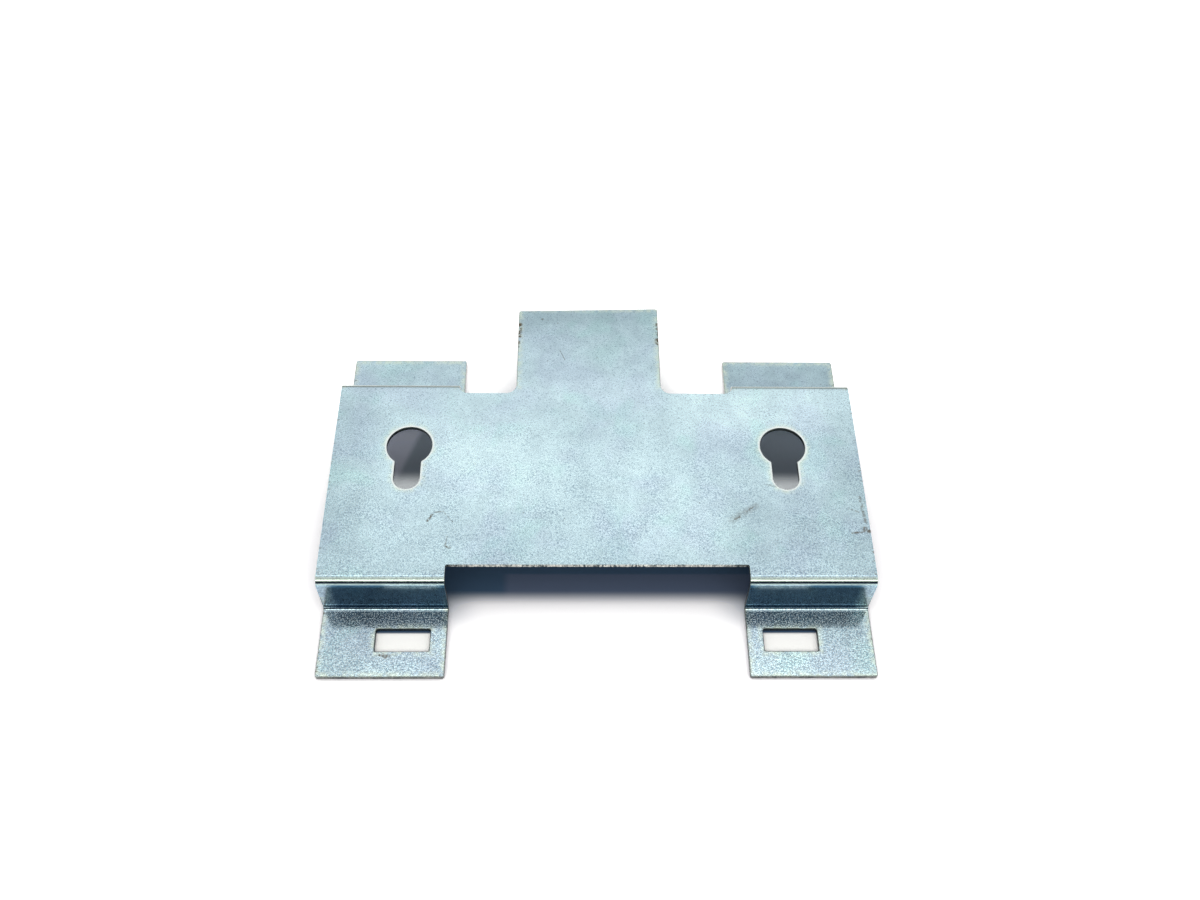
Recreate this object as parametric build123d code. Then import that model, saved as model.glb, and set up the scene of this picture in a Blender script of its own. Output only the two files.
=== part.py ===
from build123d import *
import os
from math import cos, degrees, pi, sin

# A wall bracket stamped from one zinc-plated steel sheet and folded four times: two
# feet, two front webs, a raised plate, two rear webs and two tabs, with a flat tongue
# that carries the plate on to the rear. Millimetres, +Z up, +X to the right, and the
# feet towards -Y. The origin is on the resting surface, in the middle of the outline.

# Sheet and bends
sheet = 0.9                # thickness
bend_radius = 0.8          # inside radius of all the bends
corner_radius = 0.4        # outside corners of the blank
rim_radius = 0.2           # edge that the punch rolls over round each hole

# Folded section, from front to rear
plate_width = 100.0
plate_height = 10.6        # top of the plate above the resting surface
web_spacing = 44.6         # outer face of the front webs to outer face of the rear webs
foot_reach = 13.5          # foot, forwards from the outer face of its web
foot_width = 22.8
tab_reach = 13.05          # tab, rearwards from the outer face of its web
tab_width = 23.1

# Cut-out between the feet
cutout_depth = 3.75        # into the plate, from the outer face of the front webs
cutout_corner_radius = 0.3

# Tongue
tongue_width = 28.5
tongue_offset = -1.45      # its middle, from the middle of the plate
tongue_reach = 19.25       # its far corner, from the outer face of the rear webs
tongue_skew = 0.7          # how much shorter its left side is than its right side
notch_clearance = 0.9      # flat sheet between the notches beside it and the rear bends
relief_radius = 2.0        # inside corners of those notches

# Keyholes in the plate
keyhole_spacing = 71.2
keyhole_setback = 29.45    # middle of the head, behind the outer face of the front webs
keyhole_head_radius = 4.3
keyhole_neck_width = 4.9
keyhole_drop = 7.25        # middle of the head to the middle of the neck's round end
keyhole_shoulder_radius = 0.3

# Slots in the feet
slot_inset = 14.9          # middle of the slot, in from the side of the plate
slot_setback = 6.35        # middle of the slot, before the outer face of the front webs
slot_length = 9.8
slot_width = 4.4
slot_corner_radius = 0.4

# Construction only
cut_margin = 2.0           # how far a cutting tool runs past what it cuts
relief_spans = 6           # spans of the tool that rounds a relief along its bend
near = 0.01                # how close an edge lies to where it is looked for

# Places that follow from the sizes
overall_depth = foot_reach + web_spacing + tongue_reach
foot_edge_y = -overall_depth / 2
tongue_edge_y = overall_depth / 2
front_web_y = foot_edge_y + foot_reach
rear_web_y = front_web_y + web_spacing
tab_edge_y = rear_web_y + tab_reach
cutout_edge_y = front_web_y + cutout_depth
keyhole_y = front_web_y + keyhole_setback
slot_x = plate_width / 2 - slot_inset
slot_y = front_web_y - slot_setback
bend_middle_radius = bend_radius + sheet / 2
bend_outer_radius = bend_radius + sheet
bend_axis_z = plate_height - bend_outer_radius
rear_bend_y = rear_web_y - bend_outer_radius
notch_edge_y = rear_bend_y - notch_clearance
foot_inner_x = plate_width / 2 - foot_width
tab_inner_x = plate_width / 2 - tab_width


def rectangle_between(left, front, right, rear):
    """Rectangle from the places of its four sides."""
    middle = Pos((left + right) / 2, (front + rear) / 2)
    return middle * Rectangle(right - left, rear - front)


def punch(outline):
    """Tool that cuts an outline straight down through the whole bracket."""
    return extrude(Pos(0, 0, -cut_margin) * outline, plate_height + 2 * cut_margin)


def folded_sheet():
    """The sheet's section across its four bends, run out to the full width."""
    half = sheet / 2
    middle_line = FilletPolyline(
        (foot_edge_y, half),
        (front_web_y + half, half),
        (front_web_y + half, plate_height - half),
        (rear_web_y - half, plate_height - half),
        (rear_web_y - half, half),
        (tab_edge_y, half),
        radius=bend_middle_radius,
    )
    section = trace(middle_line, line_width=sheet)
    return extrude(Plane.YZ * section, plate_width / 2, both=True)


def foot_gap():
    """Outline that parts the feet and their webs, and bites into the plate."""
    gap = rectangle_between(-foot_inner_x, foot_edge_y - cut_margin, foot_inner_x, cutout_edge_y)
    return fillet(gap.vertices().group_by(Axis.Y)[-1], cutout_corner_radius)


def tab_gap():
    """Outline that parts the tabs and their webs, and just reaches into the plate."""
    return rectangle_between(-tab_inner_x, notch_edge_y, tab_inner_x, tab_edge_y + cut_margin)


def tongue():
    """Flat tongue, its end cut slightly askew and its root rounded into the notches."""
    left = tongue_offset - tongue_width / 2
    right = tongue_offset + tongue_width / 2
    outline = Polyline(
        (left, cutout_edge_y),
        (right, cutout_edge_y),
        (right, tongue_edge_y),
        (left, tongue_edge_y - tongue_skew),
        close=True,
    )
    root = rectangle_between(-tab_inner_x, cutout_edge_y, tab_inner_x, notch_edge_y)
    blank = make_face(outline) + root
    end_corners = blank.vertices().sort_by(Axis.Y)[-2:]
    blank = fillet(end_corners, corner_radius)
    root_ends = blank.vertices().filter_by_position(Axis.Y, notch_edge_y - near, notch_edge_y + near)
    blank = fillet(root_ends.sort_by(Axis.X)[1:3], relief_radius)
    return extrude(Pos(0, 0, plate_height - sheet) * blank, sheet)


def relief_corner():
    """Sheet that rounds the notch into the left rear web.

    The relief is an arc in the flat sheet. It starts in the plate, and here the rest of
    it is carried round the bend, until it meets the side of the web.
    """
    middle_z = plate_height - sheet / 2
    travel = min(relief_radius, notch_clearance + bend_middle_radius * pi / 2)
    turn = degrees((travel - notch_clearance) / bend_middle_radius)
    flat_line = Line((notch_edge_y, middle_z), (rear_bend_y, middle_z))
    bend_line = CenterArc((rear_bend_y, bend_axis_z), bend_middle_radius, 90 - turn, turn)
    strip = trace(flat_line + bend_line, line_width=sheet)
    corner = extrude(Plane.YZ * strip, relief_radius)
    slices = []
    for span in range(relief_spans + 1):
        along_arc = span / relief_spans * pi / 2
        reach = relief_radius * (1 - sin(along_arc))
        way = travel * (1 - cos(along_arc))
        flat_way = min(way, notch_clearance)
        bent = (way - flat_way) / bend_middle_radius
        axis_point = (0, notch_edge_y + flat_way, bend_axis_z)
        outwards = (0, -cos(bent), sin(bent))
        across_sheet = Plane(axis_point, x_dir=(1, 0, 0), z_dir=outwards)
        waste = rectangle_between(
            reach, bend_radius / 2, relief_radius + cut_margin, bend_outer_radius + cut_margin
        )
        slices.append(across_sheet * waste)
    return Pos(-tab_inner_x, 0, 0) * (corner - loft(slices))


def keyholes():
    """Two keyholes: a head that a screw's head passes and a neck in front that holds it."""
    head = Circle(keyhole_head_radius)
    neck = Pos(0, -keyhole_drop / 2) * Rectangle(keyhole_neck_width, keyhole_drop)
    neck_end = Pos(0, -keyhole_drop) * Circle(keyhole_neck_width / 2)
    outline = head + neck + neck_end
    shoulders = outline.vertices().sort_by(Axis.Y)[-2:]
    outline = fillet(shoulders, keyhole_shoulder_radius)
    return [Pos(side * keyhole_spacing / 2, keyhole_y) * outline for side in (-1, 1)]


def foot_slots():
    """Two rectangular slots, one in each foot."""
    outline = RectangleRounded(slot_length, slot_width, slot_corner_radius)
    return [Pos(side * slot_x, slot_y) * outline for side in (-1, 1)]


def corner_edges(body, edge_y):
    """Upright edges at the corners of the flaps that end at edge_y."""
    return body.edges().filter_by(Axis.Z).filter_by_position(Axis.Y, edge_y - near, edge_y + near)


def hole_rims(body):
    """Upper edges of the holes in every face that looks up."""
    upper_faces = [face for face in body.faces().filter_by(Axis.Z) if face.normal_at().Z > 0]
    return [edge for face in upper_faces for wire in face.inner_wires() for edge in wire.edges()]


def bracket():
    """The whole bracket, as one solid."""
    body = folded_sheet() - punch(foot_gap()) - punch(tab_gap())
    corner = relief_corner()
    body = body + tongue() + corner + mirror(corner, Plane.YZ)
    body = fillet(corner_edges(body, foot_edge_y), corner_radius)
    body = fillet(corner_edges(body, tab_edge_y), corner_radius)
    body = body - [punch(hole) for hole in keyholes() + foot_slots()]
    return fillet(hole_rims(body), rim_radius)


os.makedirs("parts", exist_ok=True)
whole = bracket()
whole.label = "bracket"
export_step(whole, "parts/bracket.step")
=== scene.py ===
"""Wall bracket folded from zinc-plated sheet steel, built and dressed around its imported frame."""

import math

import bpy
from mathutils import Matrix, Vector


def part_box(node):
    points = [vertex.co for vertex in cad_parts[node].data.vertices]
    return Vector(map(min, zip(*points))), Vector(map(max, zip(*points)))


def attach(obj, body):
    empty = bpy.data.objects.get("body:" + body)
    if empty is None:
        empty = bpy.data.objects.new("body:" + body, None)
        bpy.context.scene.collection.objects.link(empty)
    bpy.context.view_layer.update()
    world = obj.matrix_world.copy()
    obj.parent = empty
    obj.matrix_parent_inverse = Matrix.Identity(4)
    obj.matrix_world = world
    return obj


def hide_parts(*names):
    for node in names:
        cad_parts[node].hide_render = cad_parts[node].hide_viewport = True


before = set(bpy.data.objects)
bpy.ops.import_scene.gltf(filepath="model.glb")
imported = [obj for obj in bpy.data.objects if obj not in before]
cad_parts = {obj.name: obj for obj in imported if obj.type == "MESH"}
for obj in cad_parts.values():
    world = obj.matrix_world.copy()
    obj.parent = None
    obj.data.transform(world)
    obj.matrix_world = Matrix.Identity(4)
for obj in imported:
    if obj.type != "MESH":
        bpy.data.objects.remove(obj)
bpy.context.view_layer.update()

bl_info = {
    "name": "Zinc-plated wall bracket",
    "version": (1, 0, 0),
    "blender": (4, 5, 0),
    "location": "3D View > Sidebar > Bracket",
    "description": "Folds, punches and plates a sheet-steel wall bracket and sets it on a studio floor",
    "category": "Object",
}

LOW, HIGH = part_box("bracket")
MM = 0.001
PIECE = "bracket_sheet"


# ------------------------------------------------------------
# Sizes, colours and light that a user would change
# ------------------------------------------------------------

def length(name, description, default, **more):
    """A length in metres that the sidebar shows in scene units."""
    return bpy.props.FloatProperty(
        name=name, description=description, default=default, unit="LENGTH", precision=5, **more
    )


def colour(name, description, default):
    """A linear colour."""
    return bpy.props.FloatVectorProperty(
        name=name, description=description, default=default, subtype="COLOR", min=0.0, max=4.0
    )


def share(name, description, default, high=1.0):
    """A plain number from nothing to its highest value."""
    return bpy.props.FloatProperty(name=name, description=description, default=default, min=0.0, max=high)


def angle(name, description, degrees):
    """An angle, given in degrees."""
    return bpy.props.FloatProperty(
        name=name, description=description, default=math.radians(degrees), subtype="ANGLE"
    )


class BracketSizes(bpy.types.PropertyGroup):
    """Sizes of the folded sheet. Places across and along it follow from them."""

    sheet: length("Sheet", "Thickness of the sheet", 0.9 * MM)
    bend_radius: length("Bend radius", "Inside radius of the four bends", 0.8 * MM)
    foot_reach: length("Foot reach", "From the outer face of the front webs to the front edge", 13.5 * MM)
    foot_width: length("Foot width", "Width of one foot", 22.8 * MM)
    web_spacing: length("Web spacing", "Between the outer faces of the front and rear webs", 44.6 * MM)
    tab_reach: length("Tab reach", "From the outer face of the rear webs to the end of a tab", 13.05 * MM)
    tab_width: length("Tab width", "Width of one tab", 23.1 * MM)
    corner_radius: length("Corner radius", "Outside corners of the blank", 0.4 * MM)
    cutout_depth: length("Cut-out depth", "Bite of the front cut-out into the plate", 3.75 * MM)
    cutout_corner: length("Cut-out corner", "Corner radius of the front cut-out", 0.3 * MM)
    tongue_width: length("Tongue width", "Width of the rear tongue", 28.5 * MM)
    tongue_offset: length("Tongue offset", "Middle of the tongue from the middle of the plate", -1.45 * MM)
    tongue_skew: length("Tongue skew", "How much shorter the tongue is on its left side", 0.7 * MM)
    notch_clearance: length("Notch clearance", "Flat sheet between notch and rear bend", 0.9 * MM)
    relief_radius: length("Relief radius", "Inside corners of the notches", 2.0 * MM)
    keyhole_spacing: length("Keyhole spacing", "Between the middles of the keyhole heads", 71.2 * MM)
    keyhole_setback: length("Keyhole setback", "Heads behind the outer face of the front webs", 29.45 * MM)
    keyhole_head: length("Keyhole head", "Radius of a keyhole's head", 4.3 * MM)
    keyhole_neck: length("Keyhole neck", "Width of a keyhole's neck", 4.9 * MM)
    keyhole_drop: length("Keyhole drop", "Middle of the head to the middle of the neck's end", 7.25 * MM)
    shoulder_offset: length("Shoulder", "Cut back of the corner between neck and head", 0.16 * MM)
    slot_inset: length("Slot inset", "Middle of a slot from the side of the plate", 14.9 * MM)
    slot_setback: length("Slot setback", "Middle of a slot before the front webs' outer face", 6.35 * MM)
    slot_length: length("Slot length", "Length of a foot slot", 9.8 * MM)
    slot_width: length("Slot width", "Width of a foot slot", 4.4 * MM)
    slot_corner: length("Slot corner", "Corner radius of a foot slot", 0.4 * MM)
    rim_roll: length("Rim roll", "Radius that the punch rolls over round each hole", 0.2 * MM)
    edge_roll: length("Edge roll", "Rounding of all the other cut edges", 0.07 * MM)


class ZincFinish(bpy.types.PropertyGroup):
    """Colours and surface of the plating."""

    pale: colour("Pale zinc", "Lighter crystals of the plating", (0.60, 0.785, 0.845))
    deep: colour("Deep zinc", "Darker crystals of the plating", (0.30, 0.42, 0.50))
    # also painted as shade on the feet beside the front webs
    dark_crystal_and_shade: colour("Dark crystals", "Scattered dark crystals", (0.10, 0.17, 0.24))
    bright: colour("Bright clouds", "Tint of the patches where the plating is brightest", (1.22, 1.2, 1.17))
    dull: colour("Dull clouds", "Tint of the patches where the plating is dull", (0.72, 0.74, 0.75))
    mottle: colour("Mottle", "Tint of the small cloudy patches", (1.13, 1.13, 1.12))
    lilac: colour("Lilac cast", "Tint of the violet interference patches", (0.97, 0.94, 0.985))
    green: colour("Green cast", "Tint of the green interference patches", (0.94, 1.01, 0.97))
    # painted highlight: the bright ring round the keyholes; the same colour is the pale colour of the milky
    # flakes
    flake_and_ring_highlight: colour("Halo", "Bright ring round the punched keyholes", (0.93, 1.0, 0.99))
    straw: colour("Straw cast", "Pale yellow interference colour towards the edges", (0.78, 0.88, 0.70))
    # a dark line along the cut edges; on the rear bends the same colour is painted shade
    outline: colour("Worn outline", "Dark line along the outer edges", (0.15, 0.17, 0.15))
    # painted shade: the deeper blue painted on the faces that stand up
    web: colour("Blue of the webs", "Deeper blue on the faces that stand up", (0.008, 0.07, 0.145))
    stain: colour("Stain", "Brown marks, scratches and nicks", (0.09, 0.07, 0.04))
    # painted shade: the cut steel is painted this dark; its bright streaks are painted highlights and
    # reflections
    sheared: colour("Sheared edge", "Steel that shows where the blank was cut", (0.03, 0.045, 0.05))
    sheared_highlight: colour("Sheared edge, bright", "Bright streaks of the cut edge", (0.80, 0.80, 0.74))
    metal: share("Metal", "How much of the plating is bare metal and not milky film", 0.93)
    roughness: share("Roughness", "Mean roughness of the plated faces", 0.09)
    grain_size: length("Grain size", "Width of one crystal patch", 0.32 * MM)
    grain_height: length("Grain height", "Relief of the crystal patches", 0.04 * MM)
    flake_film: share("Film on flakes", "How milky the palest flakes are", 0.75)
    rolled_sparkle: share("Sparkle beside the webs", "Relief on the feet close to the webs", 0.28)
    foot_sparkle: share("Sparkle of the plate", "Relief on the plate as a share of that on the feet", 0.6)


class StudioLook(bpy.types.PropertyGroup):
    """Floor, light and camera."""

    floor: colour("Floor", "Colour of the floor to the light that it scatters", (0.30, 0.30, 0.30))
    floor_tone: colour("Floor tone", "Tone of the open floor to the camera", (1.0, 1.0, 1.0))
    floor_seen: share("Floor as seen", "Brightness of the open floor to the camera", 1.8, high=4.0)
    # painted shadow on the floor under the front edge, and painted half shade before it
    painted_shadow: colour("Floor under the front", "Colour of the floor under the front edge", (0.06, 0.11, 0.19))
    half_shade: colour("Half shade", "Colour of the floor before it, in half shade", (0.11, 0.145, 0.23))
    # painted shade on the floor under the plate, seen through the keyholes, painted lighter at its left
    # where light comes in from that side, and painted pools of light under the keyholes
    keyhole: colour("Floor under the plate", "Colour of the floor under the keyholes", (0.45, 0.52, 0.62))
    keyhole_light_left: colour("Floor under the plate, left", "Its colour at the left", (0.85, 0.88, 1.05))
    light_pool: colour("Light pools", "Colour where light falls through a keyhole", (1.55, 1.6, 1.62))
    # painted shade on the floor close beside the sheet and inside the foot slots
    shade: colour("Floor beside the sheet", "Colour close beside the sheet", (1.36, 1.34, 1.38))
    slot_shade: colour("Floor in the slots", "Colour of the floor inside the foot slots", (1.28, 1.28, 1.25))
    hollow_reach: length("Hollow reach", "How far the shade of the sheet reaches over the floor", 50 * MM)
    camera_place: bpy.props.FloatVectorProperty(
        name="Camera place", description="Where the camera stands", unit="LENGTH",
        default=(-0.004158, -0.123740, 0.197659),
    )
    camera_pitch: angle("Pitch", "How far the camera looks down", 55.794)
    camera_yaw: angle("Yaw", "How far the camera looks to the right", 2.163)
    camera_roll: angle("Roll", "How far the camera leans", 1.932)
    lens: bpy.props.FloatProperty(
        name="Lens", description="Focal length on a 36 mm sensor", default=35.64, unit="CAMERA"
    )


# ------------------------------------------------------------
# Small steps of modelling
# ------------------------------------------------------------

def clear_selection():
    """Leaves object mode with nothing selected."""
    if bpy.context.object and bpy.context.object.mode != "OBJECT":
        bpy.ops.object.mode_set(mode="OBJECT")
    bpy.ops.object.select_all(action="DESELECT")


def pick(piece):
    """Makes piece the only selected and the active object."""
    clear_selection()
    piece.select_set(True)
    bpy.context.view_layer.objects.active = piece


def settle(piece):
    """Puts a piece's place, turn and scale into its mesh."""
    pick(piece)
    bpy.ops.object.transform_apply(location=True, rotation=True, scale=True)


def select_edges(piece, wanted):
    """Selects, in edit mode, the edges whose two end points pass a test."""
    pick(piece)
    bpy.ops.object.mode_set(mode="EDIT")
    bpy.ops.mesh.select_mode(type="EDGE")
    bpy.ops.mesh.select_all(action="DESELECT")
    bpy.ops.object.mode_set(mode="OBJECT")
    points = piece.data.vertices
    for edge in piece.data.edges:
        a, b = (points[i].co for i in edge.vertices)
        edge.select = wanted(a, b)
    bpy.ops.object.mode_set(mode="EDIT")


def bevel_edges(piece, wanted, offset, segments):
    """Rounds the edges that pass a test."""
    select_edges(piece, wanted)
    bpy.ops.mesh.bevel(offset=offset, offset_type="OFFSET", segments=segments, profile=0.5, affect="EDGES")
    bpy.ops.object.mode_set(mode="OBJECT")


def upright(a, b):
    """True for an edge that runs straight up."""
    return abs(a.x - b.x) < 1e-6 and abs(a.y - b.y) < 1e-6


def near(value, target, reach=1e-5):
    """True where a coordinate is at a place."""
    return abs(value - target) < reach


def apply_modifier(piece, kind, **values):
    """Adds one modifier, sets it and applies it."""
    pick(piece)
    modifier = piece.modifiers.new(kind.title(), kind)
    for name, value in values.items():
        setattr(modifier, name, value)
    bpy.ops.object.modifier_apply(modifier=modifier.name)


def combine(piece, tool, operation):
    """Joins a tool to the piece or cuts it away, and removes the tool."""
    apply_modifier(piece, "BOOLEAN", operation=operation, object=tool, solver="EXACT")
    bpy.data.objects.remove(tool, do_unlink=True)


def block(left, front, right, rear, low, high):
    """A box between six planes, with its place in its mesh."""
    clear_selection()
    bpy.ops.mesh.primitive_cube_add(
        size=1,
        location=((left + right) / 2, (front + rear) / 2, (low + high) / 2),
        scale=(right - left, rear - front, high - low),
    )
    made = bpy.context.object
    settle(made)
    return made


# ------------------------------------------------------------
# The bracket
# ------------------------------------------------------------

class Places:
    """Where things lie, worked out from the sizes and from the frame's box."""

    def __init__(self, sizes):
        self.half = sizes.sheet / 2
        self.side = HIGH.x
        self.top = HIGH.z
        self.front_edge = LOW.y
        self.front_web = self.front_edge + sizes.foot_reach
        self.rear_web = self.front_web + sizes.web_spacing
        self.tab_end = self.rear_web + sizes.tab_reach
        self.middle_radius = sizes.bend_radius + self.half
        self.outer_radius = sizes.bend_radius + sizes.sheet
        self.notch = self.rear_web - self.outer_radius - sizes.notch_clearance
        self.web_relief = sizes.notch_clearance + sizes.bend_radius - 0.03 * MM
        self.cutout = self.front_web + sizes.cutout_depth
        self.foot_inner = self.side - sizes.foot_width
        self.tab_inner = self.side - sizes.tab_width
        self.tongue_left = sizes.tongue_offset - sizes.tongue_width / 2
        self.tongue_right = sizes.tongue_offset + sizes.tongue_width / 2
        self.tongue_end = -LOW.y
        self.keyhole = self.front_web + sizes.keyhole_setback
        self.slot_x = self.side - sizes.slot_inset
        self.slot_y = self.front_web - sizes.slot_setback
        self.below = -2 * MM
        self.above = self.top + 2 * MM


BEND_SEGMENTS = 12
CORNER_SEGMENTS = 8
HEAD_SEGMENTS = 96
NECK_SEGMENTS = 20
SHOULDER_SEGMENTS = 4
SLOT_SEGMENTS = 6
RIM_SEGMENTS = 5
EDGE_SEGMENTS = 3
SEAM_REACH = 0.005 * MM     # points closer than this become one


def fold_sheet(sizes, at):
    """Folds a plane four times along its middle surface, rounds the folds and gives it its thickness."""
    clear_selection()
    width = 2 * at.side
    first_fold = at.front_web + at.half
    second_fold = at.rear_web - at.half
    rise = at.top - sizes.sheet
    bpy.ops.mesh.primitive_plane_add(size=width, location=(0, at.front_edge + width / 2, at.half))
    piece = bpy.context.object
    piece.name = PIECE
    piece.data.name = PIECE
    settle(piece)
    rear = at.front_edge + width
    select_edges(piece, lambda a, b: near(a.y, rear) and near(b.y, rear))
    bpy.ops.transform.translate(value=(0, first_fold - rear, 0))
    plate, tab = second_fold - first_fold, at.tab_end - second_fold
    for step in ((0, 0, rise), (0, plate, 0), (0, 0, -rise), (0, tab, 0)):
        bpy.ops.mesh.extrude_edges_move(TRANSFORM_OT_translate={"value": step})
    bpy.ops.object.mode_set(mode="OBJECT")

    def fold(a, b):
        inside = at.front_edge + MM < a.y < at.tab_end - MM
        return inside and near(a.y, b.y) and near(a.z, b.z)

    bevel_edges(piece, fold, at.middle_radius, BEND_SEGMENTS)
    apply_modifier(piece, "SOLIDIFY", thickness=sizes.sheet, offset=0, use_even_offset=True)
    return piece


def cut_outline(piece, sizes, at):
    """Parts the feet and the tabs, adds the tongue, and rounds the notches beside it."""

    def corner_of(x, y):
        """A test for the upright edges at y, and at x where x is given."""
        return lambda a, b: upright(a, b) and near(a.y, y) and (x is None or near(a.x, x))

    gap = block(-at.foot_inner, at.front_edge - MM, at.foot_inner, at.cutout, at.below, at.above)
    bevel_edges(gap, corner_of(None, at.cutout), sizes.cutout_corner, CORNER_SEGMENTS)
    combine(piece, gap, "DIFFERENCE")
    behind = at.notch + sizes.notch_clearance
    bridge = block(
        at.tongue_left - MM, behind, at.tongue_right + MM, at.tab_end + MM, at.below, at.above
    )
    combine(piece, bridge, "DIFFERENCE")
    combine(piece, tongue_slab(sizes, at), "UNION")
    for web, tongue in ((-at.tab_inner, at.tongue_left), (at.tab_inner, at.tongue_right)):
        notch = block(min(web, tongue), at.notch, max(web, tongue), at.tongue_end + MM, at.below, at.above)
        for side, radius in ((web, at.web_relief), (tongue, sizes.relief_radius)):
            bevel_edges(notch, corner_of(side, at.notch), radius, CORNER_SEGMENTS)
        combine(piece, notch, "DIFFERENCE")

    def flap_corner(a, b):
        end = near(a.y, at.front_edge) or near(a.y, at.tab_end) or a.y > at.tongue_end - MM
        return upright(a, b) and end

    bevel_edges(piece, flap_corner, sizes.corner_radius, CORNER_SEGMENTS)


def tongue_slab(sizes, at):
    """The tongue with the strip of plate that it grows from, its end cut askew."""
    left, right = at.tongue_left - MM, at.tongue_right + MM
    slab = block(left, at.notch - MM, right, at.tongue_end, at.top - sizes.sheet, at.top)
    slope = sizes.tongue_skew / sizes.tongue_width
    for side, shift in ((left, -sizes.tongue_skew - MM * slope), (right, MM * slope)):
        select_edges(slab, lambda a, b: upright(a, b) and near(a.x, side) and near(a.y, at.tongue_end))
        bpy.ops.transform.translate(value=(0, shift, 0))
        bpy.ops.object.mode_set(mode="OBJECT")
    return slab


def punch_holes(piece, sizes, at):
    """Punches the keyholes and the foot slots through the sheet."""
    for side in (-1, 1):
        x = side * sizes.keyhole_spacing / 2
        neck = sizes.keyhole_neck / 2
        clear_selection()
        bpy.ops.mesh.primitive_cylinder_add(
            vertices=HEAD_SEGMENTS, radius=sizes.keyhole_head, depth=8 * MM, location=(x, at.keyhole, at.top)
        )
        head = bpy.context.object
        settle(head)
        end = at.keyhole - sizes.keyhole_drop - neck
        stem = block(x - neck, end, x + neck, at.keyhole, at.top - 4 * MM, at.top + 4 * MM)
        bevel_edges(stem, lambda a, b: upright(a, b) and near(a.y, end), neck * 0.9999, NECK_SEGMENTS)
        combine(head, stem, "UNION")
        reach = math.sqrt(sizes.keyhole_head ** 2 - neck ** 2)

        def shoulder(a, b):
            return upright(a, b) and near(abs(a.x - x), neck, 4e-5) and near(a.y, at.keyhole - reach, 6e-5)

        bevel_edges(head, shoulder, sizes.shoulder_offset, SHOULDER_SEGMENTS)
        combine(piece, head, "DIFFERENCE")
        slot = block(
            side * at.slot_x - sizes.slot_length / 2, at.slot_y - sizes.slot_width / 2,
            side * at.slot_x + sizes.slot_length / 2, at.slot_y + sizes.slot_width / 2,
            at.below, 3 * MM,
        )
        bevel_edges(slot, upright, sizes.slot_corner, SLOT_SEGMENTS)
        combine(piece, slot, "DIFFERENCE")


def clear_seams(piece):
    """Merges what lies on one spot or in one plane after all the cuts."""
    pick(piece)
    bpy.ops.object.mode_set(mode="EDIT")
    bpy.ops.mesh.select_all(action="SELECT")
    bpy.ops.mesh.remove_doubles(threshold=SEAM_REACH)
    bpy.ops.mesh.dissolve_limited(angle_limit=math.radians(0.5))
    bpy.ops.object.mode_set(mode="OBJECT")


def soften_edges(piece, sizes, at):
    """Rolls the upper rims of the holes, breaks all the other cut edges and smooths the folds."""
    plate_top, foot_top = at.top, sizes.sheet
    key_left = sizes.keyhole_spacing / 2

    def round_a_hole(point):
        in_plate = (
            near(point.z, plate_top) and near(abs(point.x), key_left, 5 * MM)
            and at.keyhole - 11 * MM < point.y < at.keyhole + 5 * MM
        )
        in_foot = (
            near(point.z, foot_top) and near(abs(point.x), at.slot_x, 5.5 * MM)
            and near(point.y, at.slot_y, 2.5 * MM)
        )
        return in_plate or in_foot

    bevel_edges(piece, lambda a, b: round_a_hole(a) and round_a_hole(b), sizes.rim_roll, RIM_SEGMENTS)
    apply_modifier(
        piece, "BEVEL", width=sizes.edge_roll, segments=EDGE_SEGMENTS, limit_method="ANGLE",
        angle_limit=math.radians(50), use_clamp_overlap=False,
    )
    pick(piece)
    bpy.ops.object.shade_smooth_by_angle(angle=math.radians(35))
    apply_modifier(piece, "WEIGHTED_NORMAL", keep_sharp=True, weight=50)


class BRACKET_OT_sheet(bpy.types.Operator):
    """Fold, cut and punch the bracket's sheet, and seat it on the frame"""

    bl_idname = "bracket.sheet"
    bl_label = "Bracket sheet"

    def execute(self, context):
        sizes = context.scene.bracket_sizes
        at = Places(sizes)
        piece = fold_sheet(sizes, at)
        cut_outline(piece, sizes, at)
        punch_holes(piece, sizes, at)
        clear_seams(piece)
        soften_edges(piece, sizes, at)
        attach(piece, "root")
        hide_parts("bracket")
        return {"FINISHED"}


# ------------------------------------------------------------
# Surface of the plating
# ------------------------------------------------------------

SEEN_FROM_ABOVE = (1, 1, 0)  # drops the height of a vector


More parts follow.
